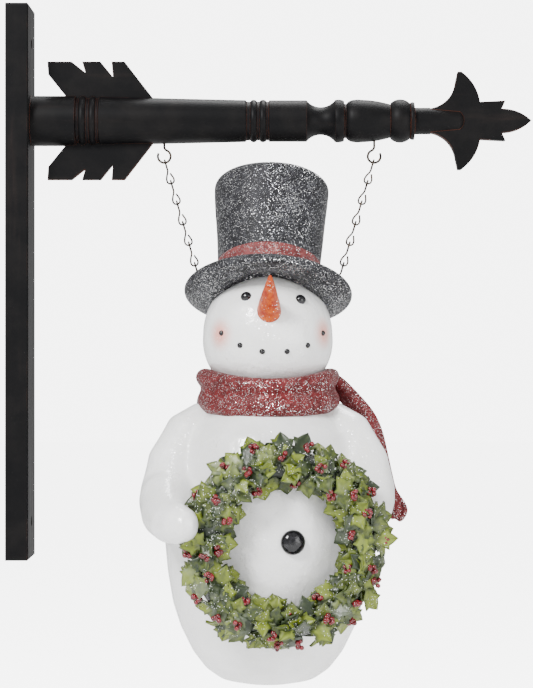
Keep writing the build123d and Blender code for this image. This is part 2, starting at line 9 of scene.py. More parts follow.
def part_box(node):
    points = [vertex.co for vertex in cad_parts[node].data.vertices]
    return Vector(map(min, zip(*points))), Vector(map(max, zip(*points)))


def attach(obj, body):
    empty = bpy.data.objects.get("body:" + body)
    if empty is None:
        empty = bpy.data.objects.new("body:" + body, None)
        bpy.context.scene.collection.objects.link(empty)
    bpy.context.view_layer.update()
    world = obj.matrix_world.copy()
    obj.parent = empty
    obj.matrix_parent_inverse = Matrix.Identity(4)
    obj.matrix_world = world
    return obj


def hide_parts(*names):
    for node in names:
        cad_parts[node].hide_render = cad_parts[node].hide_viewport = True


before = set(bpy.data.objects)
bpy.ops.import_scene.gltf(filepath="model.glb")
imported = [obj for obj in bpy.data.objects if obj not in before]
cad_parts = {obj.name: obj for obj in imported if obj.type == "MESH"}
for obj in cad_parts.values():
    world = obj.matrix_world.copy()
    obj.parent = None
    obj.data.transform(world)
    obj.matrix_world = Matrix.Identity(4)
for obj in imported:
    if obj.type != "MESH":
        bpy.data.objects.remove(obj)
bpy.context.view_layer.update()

# ---- Camera: level with the snowman's chin, square to the arm, from a little over two metres.
MM = 0.001
scene = bpy.context.scene
camera_data = bpy.data.cameras.new("camera")
camera_data.sensor_fit = "VERTICAL"
camera_data.sensor_height = 24.0
camera_data.lens = 83.2
camera_data.shift_y = 0.0058
camera = bpy.data.objects.new("camera", camera_data)
camera.location = (0.2377, -2.2, -0.0603)
camera.rotation_euler = (math.radians(90), 0, 0)
scene.collection.objects.link(camera)
scene.camera = camera


# ---- Studio: a pale floor well below the hanging figure, a white surround and soft lamps.
def new_material(name):
    """A material with its Principled shader, ready for nodes."""
    material = bpy.data.materials.new(name)
    material.use_nodes = True
    return material, material.node_tree, material.node_tree.nodes["Principled BSDF"]


floor_bm = bmesh.new()
bmesh.ops.create_grid(floor_bm, x_segments=2, y_segments=2, size=12.0)
floor_mesh = bpy.data.meshes.new("floor")
floor_bm.to_mesh(floor_mesh)
floor_bm.free()
floor_mesh.transform(Matrix.Translation((0, 0, -0.62)))
floor = bpy.data.objects.new("floor", floor_mesh)
scene.collection.objects.link(floor)
floor_material, floor_tree, floor_shader = new_material("floor")
floor_shader.inputs["Base Color"].default_value = (0.93, 0.93, 0.93, 1)
floor_shader.inputs["Roughness"].default_value = 0.9
floor_path = floor_tree.nodes.new("ShaderNodeLightPath")
floor_glow = floor_tree.nodes.new("ShaderNodeMapRange")
floor_glow.inputs["To Min"].default_value = 0.0
floor_glow.inputs["To Max"].default_value = 5.0
floor_tree.links.new(floor_path.outputs["Is Camera Ray"], floor_glow.inputs["Value"])
floor_tree.links.new(floor_glow.outputs["Result"], floor_shader.inputs["Emission Strength"])
floor_shader.inputs["Emission Color"].default_value = (1, 1, 1, 1)
floor_mesh.materials.append(floor_material)

world = bpy.data.worlds.new("surround")
world.use_nodes = True
sky = world.node_tree.nodes["Background"]
sky.inputs["Color"].default_value = (1, 1, 1, 1)
seen = world.node_tree.nodes.new("ShaderNodeLightPath")
brightness = world.node_tree.nodes.new("ShaderNodeMapRange")   # lit softly, seen bright
brightness.inputs["To Min"].default_value = 0.85
brightness.inputs["To Max"].default_value = 6.0
world.node_tree.links.new(seen.outputs["Is Camera Ray"], brightness.inputs["Value"])
world.node_tree.links.new(brightness.outputs["Result"], sky.inputs["Strength"])
scene.world = world

LAMPS = [("key", (-1.3, -2.2, 1.9), 0.8, 190), ("fill", (2.0, -1.8, 0.3), 1.6, 40),
         ("crown", (0.5, 0.9, 1.9), 1.2, 60)]
for name, place, size, power in LAMPS:
    lamp_data = bpy.data.lights.new(name, "AREA")
    lamp_data.size = size
    lamp_data.energy = power
    lamp = bpy.data.objects.new(name, lamp_data)
    lamp.location = place
    aim = Vector((0.24, 0, -0.12)) - Vector(place)
    lamp.rotation_euler = aim.to_track_quat("-Z", "Y").to_euler()
    scene.collection.objects.link(lamp)


# ---- Wall bracket: board, turned arm, vanes and arrowhead, all of wood under black satin
# ---- paint. The paint shows the grain faintly and is rubbed to brown on the edges.
def new_group(name, inputs, outputs):
    """An empty node group with named sockets; each input is (name, type, default)."""
    group = bpy.data.node_groups.new(name, "ShaderNodeTree")
    for label, kind, value in inputs:
        socket = group.interface.new_socket(label, in_out="INPUT", socket_type=kind)
        socket.default_value = value
    for label, kind in outputs:
        group.interface.new_socket(label, in_out="OUTPUT", socket_type=kind)
    return group, group.nodes.new("NodeGroupInput"), group.nodes.new("NodeGroupOutput")


def put(tree, kind, **settings):
    """A node with its settings; names that are inputs set those inputs."""
    node = tree.nodes.new(kind)
    for name, value in settings.items():
        label = name.replace("_", " ")
        if name in node.bl_rna.properties and not isinstance(value, tuple):
            setattr(node, name, value)
        elif label in node.inputs:
            node.inputs[label].default_value = value
        else:
            node.inputs[int(name[2:])].default_value = value
    return node


def ramp(tree, source, low, high):
    """Smooth step of a value from 0 at low to 1 at high."""
    node = put(tree, "ShaderNodeMapRange", interpolation_type="SMOOTHSTEP")
    node.inputs["From Min"].default_value = low
    node.inputs["From Max"].default_value = high
    tree.links.new(source, node.inputs["Value"])
    return node.outputs["Result"]


def math_node(tree, operation, a, b):
    """Math of two values, each a socket or a number."""
    node = put(tree, "ShaderNodeMath", operation=operation)
    for index, value in enumerate((a, b)):
        if isinstance(value, (int, float)):
            node.inputs[index].default_value = value
        else:
            tree.links.new(value, node.inputs[index])
    return node.outputs[0]


def mix_color(tree, factor, a, b):
    """Colour mix; a and b are sockets or colours."""
    node = put(tree, "ShaderNodeMix", data_type="RGBA")
    tree.links.new(factor, node.inputs["Factor"])
    for label, value in (("A", a), ("B", b)):
        socket = [s for s in node.inputs if s.name == label and s.type == "RGBA"][0]
        if isinstance(value, tuple):
            socket.default_value = value + (1,)
        else:
            tree.links.new(value, socket)
    return [s for s in node.outputs if s.type == "RGBA"][0]


# Shared effect: long wood grain under paint, and paint rubbed through on edges.
grain_group, grain_in, grain_out = new_group(
    "painted_grain",
    [("Stretch", "NodeSocketVector", (1, 1, 1)), ("Wear", "NodeSocketFloat", 0.5)],
    [("Wear Mask", "NodeSocketFloat"), ("Grain", "NodeSocketFloat"), ("Blotch", "NodeSocketFloat")],
)
g = grain_group
place = put(g, "ShaderNodeTexCoord")
stretch = put(g, "ShaderNodeVectorMath", operation="MULTIPLY")
g.links.new(place.outputs["Object"], stretch.inputs[0])
g.links.new(grain_in.outputs["Stretch"], stretch.inputs[1])
fibre = put(g, "ShaderNodeTexNoise", Scale=90.0, Detail=6.0, Roughness=0.6)
g.links.new(stretch.outputs[0], fibre.inputs["Vector"])
blotch = put(g, "ShaderNodeTexNoise", Scale=38.0, Detail=4.0, Roughness=0.6)
g.links.new(place.outputs["Object"], blotch.inputs["Vector"])
edge = put(g, "ShaderNodeBevel", samples=8, Radius=0.0016)
true_normal = put(g, "ShaderNodeNewGeometry")
turned = put(g, "ShaderNodeVectorMath", operation="DOT_PRODUCT")
g.links.new(edge.outputs[0], turned.inputs[0])
g.links.new(true_normal.outputs["Normal"], turned.inputs[1])
sharp = ramp(g, math_node(g, "SUBTRACT", 1.0, turned.outputs["Value"]), 0.02, 0.22)
patchy = ramp(g, math_node(g, "ADD", blotch.outputs["Fac"], math_node(
    g, "MULTIPLY", grain_in.outputs["Wear"], 0.2)), 0.52, 0.72)
g.links.new(math_node(g, "MULTIPLY", sharp, patchy), grain_out.inputs["Wear Mask"])
g.links.new(fibre.outputs["Fac"], grain_out.inputs["Grain"])
g.links.new(blotch.outputs["Fac"], grain_out.inputs["Blotch"])


def bracket_paint(name, stretch, wear):
    """Black satin paint with the grain running the way the piece was cut."""
    material, tree, shader = new_material(name)
    effect = put(tree, "ShaderNodeGroup")
    effect.node_tree = grain_group
    effect.inputs["Stretch"].default_value = stretch
    effect.inputs["Wear"].default_value = wear
    patches = ramp(tree, effect.outputs["Blotch"], 0.35, 0.75)
    black = mix_color(tree, patches, (0.002, 0.002, 0.0024), (0.005, 0.0045, 0.0045))
    streaks = ramp(tree, effect.outputs["Grain"], 0.55, 0.8)
    faint = math_node(tree, "MULTIPLY", streaks, 0.35)
    grained = mix_color(tree, faint, black, (0.02, 0.013, 0.011))
    shader.inputs["Specular IOR Level"].default_value = 0.09
    worn = math_node(tree, "MULTIPLY", effect.outputs["Wear Mask"], 0.75)
    tree.links.new(mix_color(tree, worn, grained, (0.09, 0.028, 0.016)),
                   shader.inputs["Base Color"])
    rough = put(tree, "ShaderNodeMapRange")
    rough.inputs["To Min"].default_value = 0.38
    rough.inputs["To Max"].default_value = 0.62
    tree.links.new(effect.outputs["Grain"], rough.inputs["Value"])
    tree.links.new(rough.outputs["Result"], shader.inputs["Roughness"])
    bump = put(tree, "ShaderNodeBump", Strength=0.35, Distance=0.0004)
    tree.links.new(effect.outputs["Grain"], bump.inputs["Height"])
    tree.links.new(bump.outputs["Normal"], shader.inputs["Normal"])
    return material


def refinish(node, material):
    """Gives a CAD piece a finish in place of its plain one."""
    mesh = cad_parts[node].data
    if not mesh.materials:
        mesh.materials.append(material)
    for index in range(len(mesh.materials)):
        mesh.materials[index] = material


ALONG_X = (0.08, 1.0, 1.0)
ALONG_Z = (1.0, 1.0, 0.08)
refinish("backboard", bracket_paint("paint_on_board", ALONG_Z, 0.3))
refinish("arm_shaft", bracket_paint("paint_on_turning", ALONG_X, 1.0))
vane_paint = bracket_paint("paint_on_sawn_board", ALONG_X, 0.6)
for node in ("upper_vane", "lower_vane", "arrowhead"):
    refinish(node, vane_paint)

# ---- Hooks and screw eyes: bent steel wire, bronzed almost black, screwed into the wood and
# ---- into the hat brim.
bronze, bronze_tree, bronze_shader = new_material("dark_bronze")
bronze_place = put(bronze_tree, "ShaderNodeTexCoord")
tarnish = put(bronze_tree, "ShaderNodeTexNoise", Scale=420.0, Detail=4.0)
bronze_tree.links.new(bronze_place.outputs["Object"], tarnish.inputs["Vector"])
dull = ramp(bronze_tree, tarnish.outputs["Fac"], 0.4, 0.65)
bronze_tree.links.new(mix_color(bronze_tree, dull, (0.012, 0.011, 0.01), (0.06, 0.045, 0.032)),
                      bronze_shader.inputs["Base Color"])
bronze_shader.inputs["Metallic"].default_value = 0.5
bronze_shader.inputs["Specular IOR Level"].default_value = 0.2
bronze_rough = put(bronze_tree, "ShaderNodeMapRange")
bronze_rough.inputs["To Min"].default_value = 0.28
bronze_rough.inputs["To Max"].default_value = 0.5
bronze_tree.links.new(tarnish.outputs["Fac"], bronze_rough.inputs["Value"])
bronze_tree.links.new(bronze_rough.outputs["Result"], bronze_shader.inputs["Roughness"])
for node in ("wall_side_hook", "tip_side_hook", "wall_side_screw_eye", "tip_side_screw_eye",
             "arm_screw"):
    refinish(node, bronze)

# ---- Jack chain: each link is one wire bent to a face-on loop below and an edge-on loop above,
# ---- with its two ends left open beside the waist.
LINK_WIRE = 0.85 * MM
LINK_PITCH = 19.7 * MM
LOOP_BELOW = [(1.5, -12.4), (2.5, -15.2), (3.5, -18.0), (2.9, -21.1), (0, -22.3), (-2.9, -21.1),
              (-3.5, -18.0), (-2.3, -14.4), (-0.8, -11.9)]
LOOP_ABOVE = [(0.8, -9.6), (2.3, -7.0), (3.5, -3.4), (2.9, -0.3), (0, 0.9), (-2.9, -0.3),
              (-3.5, -3.4), (-2.5, -6.2), (-1.5, -9.0)]


def chain_curve(name, body, replaced, top, up, count):
    """Links hanging one in the next, from the first link's top wire down."""
    curve = bpy.data.curves.new(name, "CURVE")
    curve.dimensions = "3D"
    curve.bevel_depth = LINK_WIRE
    curve.bevel_resolution = 3
    curve.resolution_u = 4
    side = Vector((up.z, 0, -up.x))
    for number in range(count):
        origin = top - up * (LINK_PITCH * number)
        points = [origin + side * (x * MM) + up * (z * MM) for x, z in LOOP_BELOW]
        points += [origin + Vector((0, y * MM, 0)) + up * (z * MM) for y, z in LOOP_ABOVE]
        spline = curve.splines.new("NURBS")
        spline.points.add(len(points) - 1)
        for point, place in zip(spline.points, points):
            point.co = place.to_4d()
        spline.order_u = 3
        spline.use_endpoint_u = True
    curve.use_fill_caps = True
    curve.materials.append(bronze)
    piece = bpy.data.objects.new(name, curve)
    scene.collection.objects.link(piece)
    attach(piece, body)
    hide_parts(replaced)


for side, place in ((-1, "wall"), (1, "tip")):
    low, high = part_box(place + "_side_hook_link")
    eye_low, eye_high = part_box(place + "_side_eye_link")
    down_run = (eye_low + eye_high) / 2 - (low + high) / 2
    up = -Vector((down_run.x, 0, down_run.z)).normalized()
    link_length = 21.35 * MM
    top = (low + high) / 2 + up * (link_length / 2)
    top.y = 0
    chain_curve(place + "_hook_link", "hook_links", place + "_side_hook_link", top, up, 1)
    chain_curve(place + "_chain_links", place + "_chain", place + "_side_chain",
                top - up * LINK_PITCH, up, 4)
    chain_curve(place + "_eye_link", "eye_links", place + "_side_eye_link",
                top - up * (LINK_PITCH * 5), up, 1)

# ---- Hat brim: a casting with a thick rounded rim, dished and bent down a little at the sides.
# ---- Charcoal under a dense coat of silver glitter; the screw eyes are set into it.
brim_low, brim_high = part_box("hat_brim")
hat_origin = (brim_low + brim_high) / 2
HAT_TILT = math.radians(21)
HAT_ROLL = math.radians(2)
hat_frame = (Matrix.Translation(hat_origin) @ Matrix.Rotation(HAT_ROLL, 4, "Y")
             @ Matrix.Rotation(-HAT_TILT, 4, "X"))


def finish_piece(bm, name, material, body, nodes, levels=0):
    """Turns a bmesh into a smooth-shaded piece riding on its body."""
    bmesh.ops.remove_doubles(bm, verts=bm.verts, dist=1e-6)
    bmesh.ops.recalc_face_normals(bm, faces=bm.faces)
    mesh = bpy.data.meshes.new(name)
    bm.to_mesh(mesh)
    bm.free()
    for polygon in mesh.polygons:
        polygon.use_smooth = True
    mesh.materials.append(material)
    piece = bpy.data.objects.new(name, mesh)
    scene.collection.objects.link(piece)
    if levels:
        smoother = piece.modifiers.new("smooth", "SUBSURF")
        smoother.levels = levels
        smoother.render_levels = levels
    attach(piece, body)
    if nodes:
        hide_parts(*nodes)
    return piece


def spun(profile, steps):
    """A closed ring or a capped body turned from (radius, height) points in metres."""
    bm = bmesh.new()
    verts = [bm.verts.new((r, 0, z)) for r, z in profile]
    edges = [bm.edges.new(pair) for pair in zip(verts, verts[1:])]
    if profile[0][0] > 1e-6 and profile[-1][0] > 1e-6:
        edges.append(bm.edges.new((verts[-1], verts[0])))
    bmesh.ops.spin(bm, geom=verts + edges, cent=(0, 0, 0), axis=(0, 0, 1),
                   angle=math.tau, steps=steps, use_merge=True)
    bmesh.ops.remove_doubles(bm, verts=bm.verts, dist=1e-6)
    return bm


# Shared effect: flakes of glitter, each tilted its own way.
flake_group, flake_in, flake_out = new_group(
    "glitter_flakes",
    [("Scale", "NodeSocketFloat", 900.0), ("Share", "NodeSocketFloat", 0.4),
     ("Tilt", "NodeSocketFloat", 0.8)],
    [("Flakes", "NodeSocketFloat"), ("Bright Flakes", "NodeSocketFloat"),
     ("Normal", "NodeSocketVector"), ("Height", "NodeSocketFloat")],
)
g = flake_group
place = put(g, "ShaderNodeTexCoord")
cells = put(g, "ShaderNodeTexVoronoi", feature="F1")
g.links.new(place.outputs["Object"], cells.inputs["Vector"])
g.links.new(flake_in.outputs["Scale"], cells.inputs["Scale"])
dice = put(g, "ShaderNodeSeparateColor")
g.links.new(cells.outputs["Color"], dice.inputs[0])
clump = put(g, "ShaderNodeTexNoise", Scale=55.0, Detail=3.0)
g.links.new(place.outputs["Object"], clump.inputs["Vector"])
clumped = math_node(g, "MULTIPLY", math_node(g, "SUBTRACT", clump.outputs["Fac"], 0.5), 0.9)
chance = math_node(g, "ADD", flake_in.outputs["Share"], clumped)
present = math_node(g, "LESS_THAN", dice.outputs["Red"], chance)
core = math_node(g, "LESS_THAN", cells.outputs["Distance"], 0.52)
flakes = math_node(g, "MULTIPLY", present, core)
bright = math_node(g, "MULTIPLY", flakes, math_node(g, "GREATER_THAN", dice.outputs["Blue"], 0.72))
lean = put(g, "ShaderNodeVectorMath", operation="SUBTRACT", in1=(0.5, 0.5, 0.5))
g.links.new(cells.outputs["Color"], lean.inputs[0])
leaned = put(g, "ShaderNodeVectorMath", operation="SCALE")
g.links.new(lean.outputs[0], leaned.inputs[0])
g.links.new(math_node(g, "MULTIPLY", flakes, flake_in.outputs["Tilt"]), leaned.inputs["Scale"])
surface = put(g, "ShaderNodeNewGeometry")
tipped = put(g, "ShaderNodeVectorMath", operation="ADD")
g.links.new(surface.outputs["Normal"], tipped.inputs[0])
g.links.new(leaned.outputs[0], tipped.inputs[1])
unit = put(g, "ShaderNodeVectorMath", operation="NORMALIZE")
g.links.new(tipped.outputs[0], unit.inputs[0])
g.links.new(flakes, flake_out.inputs["Flakes"])
g.links.new(bright, flake_out.inputs["Bright Flakes"])
g.links.new(unit.outputs[0], flake_out.inputs["Normal"])
g.links.new(flakes, flake_out.inputs["Height"])


def glitter_coat(name, dark, light, flake, scale, share, rough=0.6):
    """Paint mottled from dark to light under flakes of glitter."""
    material, tree, shader = new_material(name)
    shader.inputs["Specular IOR Level"].default_value = 0.22
    effect = put(tree, "ShaderNodeGroup")
    effect.node_tree = flake_group
    effect.inputs["Scale"].default_value = scale
    effect.inputs["Share"].default_value = share
    effect.inputs["Tilt"].default_value = 1.1
    place = put(tree, "ShaderNodeTexCoord")
    mottle = put(tree, "ShaderNodeTexNoise", Scale=160.0, Detail=5.0, Roughness=0.65)
    tree.links.new(place.outputs["Object"], mottle.inputs["Vector"])
    paint = mix_color(tree, ramp(tree, mottle.outputs["Fac"], 0.35, 0.65), dark, light)
    softened = math_node(tree, "MULTIPLY", effect.outputs["Flakes"], 0.62)
    silvered = mix_color(tree, softened, paint, flake)
    tree.links.new(mix_color(tree, effect.outputs["Bright Flakes"], silvered, (0.95, 0.95, 0.95)),
                   shader.inputs["Base Color"])
    tree.links.new(math_node(tree, "MULTIPLY", effect.outputs["Flakes"], 0.75),
                   shader.inputs["Metallic"])
    polished = math_node(tree, "SUBTRACT", rough,
                         math_node(tree, "MULTIPLY", effect.outputs["Flakes"], rough - 0.24))
    tree.links.new(polished, shader.inputs["Roughness"])
    bump = put(tree, "ShaderNodeBump", Strength=0.5, Distance=0.0005)
    tree.links.new(mottle.outputs["Fac"], bump.inputs["Height"])
    tree.links.new(effect.outputs["Normal"], bump.inputs["Normal"])
    tree.links.new(bump.outputs["Normal"], shader.inputs["Normal"])
    return material


hat_glitter = glitter_coat("charcoal_glitter", (0.004, 0.004, 0.005), (0.016, 0.016, 0.019),
                           (0.27, 0.275, 0.3), 1500.0, 0.4)

BRIM_RADIUS = 78 * MM
BRIM_INNER = 42 * MM
RIM = 5.2 * MM
BRIM_HALF = 3.6 * MM
brim_profile = [(BRIM_INNER, -BRIM_HALF), (0.052, -BRIM_HALF), (0.063, -BRIM_HALF * 1.05)]
rim_centre = BRIM_RADIUS - RIM
for step in range(9):
    angle = math.radians(-110 + step * 220 / 8)
    brim_profile.append((rim_centre + RIM * math.cos(angle), RIM * math.sin(angle)))
brim_profile += [(0.063, BRIM_HALF * 1.05), (0.052, BRIM_HALF), (BRIM_INNER, BRIM_HALF)]
brim_bm = spun(brim_profile, 96)
for vert in brim_bm.verts:
    radius = math.hypot(vert.co.x, vert.co.y)
    share = min(1.0, max(0.0, (radius - BRIM_INNER) / (BRIM_RADIUS - BRIM_INNER)))
    front = -vert.co.y / radius
    upturn = min(1.0, max(0.0, (radius - 0.062) / 0.011))
    upturn = upturn**2 * (3 - 2 * upturn)
    vert.co.z += (7.0 * upturn + max(0.0, front) ** 2 * (13.5 - 11.0 * share)) * MM
brim_bm.transform(hat_frame)
finish_piece(brim_bm, "brim", hat_glitter, "figure", ["hat_brim"], 1)

# ---- Hat crown: a hollow casting, wider at its slightly domed top, same glitter as the brim.
CROWN_BASE = 45.5 * MM
CROWN_TOP = 54 * MM
CROWN_FOOT = -4 * MM
CROWN_HEAD = 119.5 * MM
CROWN_ROUND = 9 * MM
crown_profile = [(0, CROWN_FOOT), (CROWN_BASE - 9 * MM, CROWN_FOOT),
                 (CROWN_BASE - MM, CROWN_FOOT + MM)]
for step in range(1, 9):
    share = step / 8
    crown_profile.append((CROWN_BASE + (CROWN_TOP - CROWN_BASE) * share**1.25,
                          CROWN_FOOT + (CROWN_HEAD - CROWN_ROUND - CROWN_FOOT) * share))
for step in range(1, 6):
    angle = math.radians(step * 84 / 5)
    crown_profile.append((CROWN_TOP - CROWN_ROUND * (1 - math.cos(angle)),
                          CROWN_HEAD - CROWN_ROUND * (1 - math.sin(angle))))
crown_profile += [(0.03, CROWN_HEAD + 1.8 * MM), (0.014, CROWN_HEAD + 2.8 * MM),
                  (0, CROWN_HEAD + 3.1 * MM)]
crown_bm = spun(crown_profile, 96)


def follow_brim(vert):
    """Raises the foot of the crown or band in front, where the brim arches up."""
    radius = math.hypot(vert.co.x, vert.co.y)
    front = max(0.0, -vert.co.y / radius) if radius > 0.02 else 0.0
    vert.co.z += 15 * MM * front**2 * max(0.0, 1 - max(0.0, vert.co.z) / 0.045)


for vert in crown_bm.verts:
    follow_brim(vert)
    swell = noise.noise(vert.co * 26) * 0.9 * MM
    vert.co.x *= 1 + swell / CROWN_TOP
    vert.co.y *= 1 + swell / CROWN_TOP
crown_bm.transform(hat_frame)
finish_piece(crown_bm, "crown", hat_glitter, "figure", ["hat_crown"], 1)

# ---- Hat band: a flat ribbon round the foot of the crown, dusty rose under fine glitter.
band_glitter = glitter_coat("rose_glitter", (0.09, 0.014, 0.016), (0.19, 0.042, 0.042),
                            (0.42, 0.22, 0.2), 1650.0, 0.38)
BAND_FOOT = 1.0 * MM
BAND_TOP = 36 * MM
band_profile = [(CROWN_BASE - 0.001, BAND_FOOT), (CROWN_BASE + 4.4 * MM, BAND_FOOT),
                (CROWN_BASE + 4.0 * MM, BAND_FOOT + 8 * MM),
                (CROWN_BASE + 3.4 * MM, (BAND_FOOT + BAND_TOP) / 2),
                (CROWN_BASE + 3.3 * MM, BAND_TOP - 1.4 * MM),
                (CROWN_BASE + 2.7 * MM, BAND_TOP), (CROWN_BASE, BAND_TOP)]
band_bm = spun(band_profile, 96)
for vert in band_bm.verts:
    follow_brim(vert)
band_bm.transform(hat_frame)
finish_piece(band_bm, "band", band_glitter, "figure", ["hat_band"], 1)

# ---- Head: a hollow ball of casting resin, pearl white with a gloss and a fine sparkle, and
# ---- peach blush rubbed on round both ends of the mouth.
head_low, head_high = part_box("head")
HEAD_RADIUS = (head_high.x - head_low.x) / 2
NECK_RADIUS = 36 * MM
head_centre = Vector(((head_low.x + head_high.x) / 2, (head_low.y + head_high.y) / 2,
                      head_low.z + math.sqrt(HEAD_RADIUS**2 - NECK_RADIUS**2)))


def jowl_share(height):
    """How much wider than a ball the head is at a height from its centre."""
    low = min(1.0, max(0.0, -height / HEAD_RADIUS))
    return 1 + 0.10 * low * (1 - 0.35 * low)


def on_head(azimuth, elevation, reach):
    """Point round the head; azimuth 0 looks at the viewer's side, positive to the arrowhead."""
    a = math.radians(azimuth)
    e = math.radians(elevation)
    direction = Vector((math.sin(a) * math.cos(e), -math.cos(a) * math.cos(e), math.sin(e)))
    wide = jowl_share(direction.z * reach)
    return head_centre + Vector((direction.x * wide, direction.y * wide, direction.z)) * reach


def snow_finish(name, blush_points):
    """Pearl white with soft lumps, gloss and sparse sparkle; blush where asked."""
    material, tree, shader = new_material(name)
    effect = put(tree, "ShaderNodeGroup")
    effect.node_tree = flake_group
    effect.inputs["Scale"].default_value = 1100.0
    effect.inputs["Share"].default_value = 0.12
    effect.inputs["Tilt"].default_value = 0.6
    place = put(tree, "ShaderNodeTexCoord")
    cloud = put(tree, "ShaderNodeTexNoise", Scale=18.0, Detail=5.0, Roughness=0.6)
    tree.links.new(place.outputs["Object"], cloud.inputs["Vector"])
    colour = mix_color(tree, ramp(tree, cloud.outputs["Fac"], 0.35, 0.7),
                       (0.80, 0.80, 0.785), (0.9, 0.9, 0.895))
    for point in blush_points:
        away = put(tree, "ShaderNodeVectorMath", operation="DISTANCE", in1=tuple(point))
        tree.links.new(place.outputs["Object"], away.inputs[0])
        fade = math_node(tree, "SUBTRACT", 1.0, ramp(tree, away.outputs["Value"], 0.002, 0.019))
        strength = math_node(tree, "MULTIPLY", fade, 0.8)
        colour = mix_color(tree, strength, colour, (0.8, 0.27, 0.19))
    glint = math_node(tree, "MULTIPLY", effect.outputs["Bright Flakes"], 0.8)
    tree.links.new(mix_color(tree, glint, colour, (0.97, 0.97, 0.97)), shader.inputs["Base Color"])
    tree.links.new(math_node(tree, "MULTIPLY", effect.outputs["Flakes"], 0.25),
                   shader.inputs["Metallic"])
    dimple = put(tree, "ShaderNodeTexNoise", Scale=240.0, Detail=3.0)
    tree.links.new(place.outputs["Object"], dimple.inputs["Vector"])
    rough = put(tree, "ShaderNodeMapRange")
    rough.inputs["To Min"].default_value = 0.26
    rough.inputs["To Max"].default_value = 0.46
    tree.links.new(dimple.outputs["Fac"], rough.inputs["Value"])
    tree.links.new(rough.outputs["Result"], shader.inputs["Roughness"])
    shader.inputs["Coat Weight"].default_value = 0.8
    shader.inputs["Coat Roughness"].default_value = 0.13
    shader.inputs["Subsurface Weight"].default_value = 0.12
    shader.inputs["Subsurface Radius"].default_value = (0.004, 0.004, 0.005)
    lump = put(tree, "ShaderNodeTexNoise", Scale=75.0, Detail=3.0)
    tree.links.new(place.outputs["Object"], lump.inputs["Vector"])
    swell = put(tree, "ShaderNodeBump", Strength=0.55, Distance=0.0022)
    tree.links.new(lump.outputs["Fac"], swell.inputs["Height"])
    tree.links.new(effect.outputs["Normal"], swell.inputs["Normal"])
    bump = put(tree, "ShaderNodeBump", Strength=0.4, Distance=0.0006)
    tree.links.new(dimple.outputs["Fac"], bump.inputs["Height"])
    tree.links.new(swell.outputs["Normal"], bump.inputs["Normal"])
    tree.links.new(bump.outputs["Normal"], shader.inputs["Normal"])
    tree.links.new(swell.outputs["Normal"], shader.inputs["Coat Normal"])
    return material


head_finish = snow_finish("snow_face", [on_head(-47, 0, HEAD_RADIUS), on_head(59, 1, HEAD_RADIUS)])
head_bm = bmesh.new()
bmesh.ops.create_uvsphere(head_bm, u_segments=72, v_segments=48, radius=HEAD_RADIUS + 0.0004)
for vert in head_bm.verts:
    fuller = jowl_share(vert.co.z) + noise.noise(vert.co * 22) * 0.006
    vert.co.x *= fuller
    vert.co.y *= fuller
head_bm.transform(Matrix.Translation(head_centre))
for vert in head_bm.verts:                      # the hat sits on a flat seat
    seat = hat_frame.inverted() @ vert.co
    reach = max(1e-6, math.hypot(seat.x, seat.y))
    seat.z = min(seat.z, (-1.5 + 13.5 * max(0.0, -seat.y / reach) ** 2) * MM)
    vert.co = hat_frame @ seat
finish_piece(head_bm, "face", head_finish, "figure", ["head"])

# ---- Eyes and mouth: beads of coal, glossy black, pressed into the casting.
coal, coal_tree, coal_shader = new_material("glossy_coal")
coal_place = put(coal_tree, "ShaderNodeTexCoord")
chips = put(coal_tree, "ShaderNodeTexVoronoi", feature="F1", Scale=650.0)
coal_tree.links.new(coal_place.outputs["Object"], chips.inputs["Vector"])
coal_tree.links.new(mix_color(coal_tree, ramp(coal_tree, chips.outputs["Distance"], 0.2, 0.8),
                              (0.002, 0.002, 0.0025), (0.012, 0.012, 0.014)),
                    coal_shader.inputs["Base Color"])
coal_shader.inputs["Roughness"].default_value = 0.13
coal_shader.inputs["Specular IOR Level"].default_value = 0.35
coal_shader.inputs["Coat Weight"].default_value = 0.2
coal_bump = put(coal_tree, "ShaderNodeBump", Strength=0.15, Distance=0.0005)
coal_tree.links.new(chips.outputs["Distance"], coal_bump.inputs["Height"])
coal_tree.links.new(coal_bump.outputs["Normal"], coal_shader.inputs["Normal"])


def beads(name, places, size, height, reach, node):
    """Flattened balls on the head, one at each (azimuth, elevation)."""
    bm = bmesh.new()
    for index, (azimuth, elevation) in enumerate(places):
        centre = on_head(azimuth, elevation, reach)
        turn = (centre - head_centre).to_track_quat("Z", "Y").to_matrix().to_4x4()
        squeeze = Matrix.Diagonal((size, size * 0.94, height, 1))
        bmesh.ops.create_icosphere(bm, subdivisions=3, radius=1.0,
                                   matrix=Matrix.Translation(centre) @ turn @ squeeze)
    finish_piece(bm, name, coal, "figure", [node])


FACE_YAW = 6
beads("eye_beads", [(FACE_YAW - 30, 35), (FACE_YAW + 30, 32)], 5.2 * MM, 4.4 * MM,
      HEAD_RADIUS - 0.3 * MM, "eyes")
MOUTH_ANGLES = (-51, -31, -11, 11, 31, 51)
beads("mouth_beads", [(FACE_YAW + a, -16 + 17 * (a / 51) ** 2) for a in MOUTH_ANGLES],
      2.8 * MM, 2.6 * MM, HEAD_RADIUS - 0.2 * MM, "mouth_coals")

